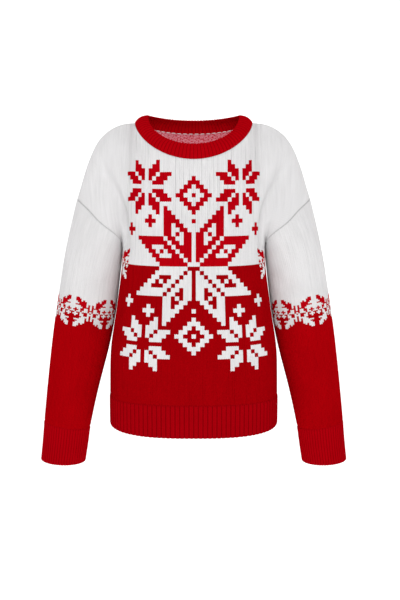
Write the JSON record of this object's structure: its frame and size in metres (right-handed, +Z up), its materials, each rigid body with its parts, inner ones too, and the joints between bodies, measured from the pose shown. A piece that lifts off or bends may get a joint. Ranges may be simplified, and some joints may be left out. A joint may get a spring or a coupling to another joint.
{
  "type": "christmas sweater",
  "caption": "Crew-neck knitted jumper with dropped shoulders in its hollow worn form, with a ribbed collar, hem and cuffs, open at neck, hem and wrists.",
  "frame": {"origin": "on the middle plane, level with the top edge of the back collar and midway between front and back of the neck, where the shoulders of the wearer carry the garment", "axes": "+Z up, +X to the right of someone facing the front, -Y out of the chest towards them"},
  "size_m": [0.653, 0.2406, 0.7285],
  "materials": {
    "jacquard_knit": "matt knit, white above and red below, with a two-colour pattern",
    "red_rib": "matt ribbed knit in red"
  },
  "bodies": {
    "root": {"front": "jacquard_knit", "back": "jacquard_knit", "sleeve_left": "jacquard_knit", "sleeve_right": "jacquard_knit", "collar_rib": "red_rib", "hem_rib_front": "red_rib", "hem_rib_back": "red_rib", "cuff_left": "red_rib", "cuff_right": "red_rib"}
  },
  "joints": []
}
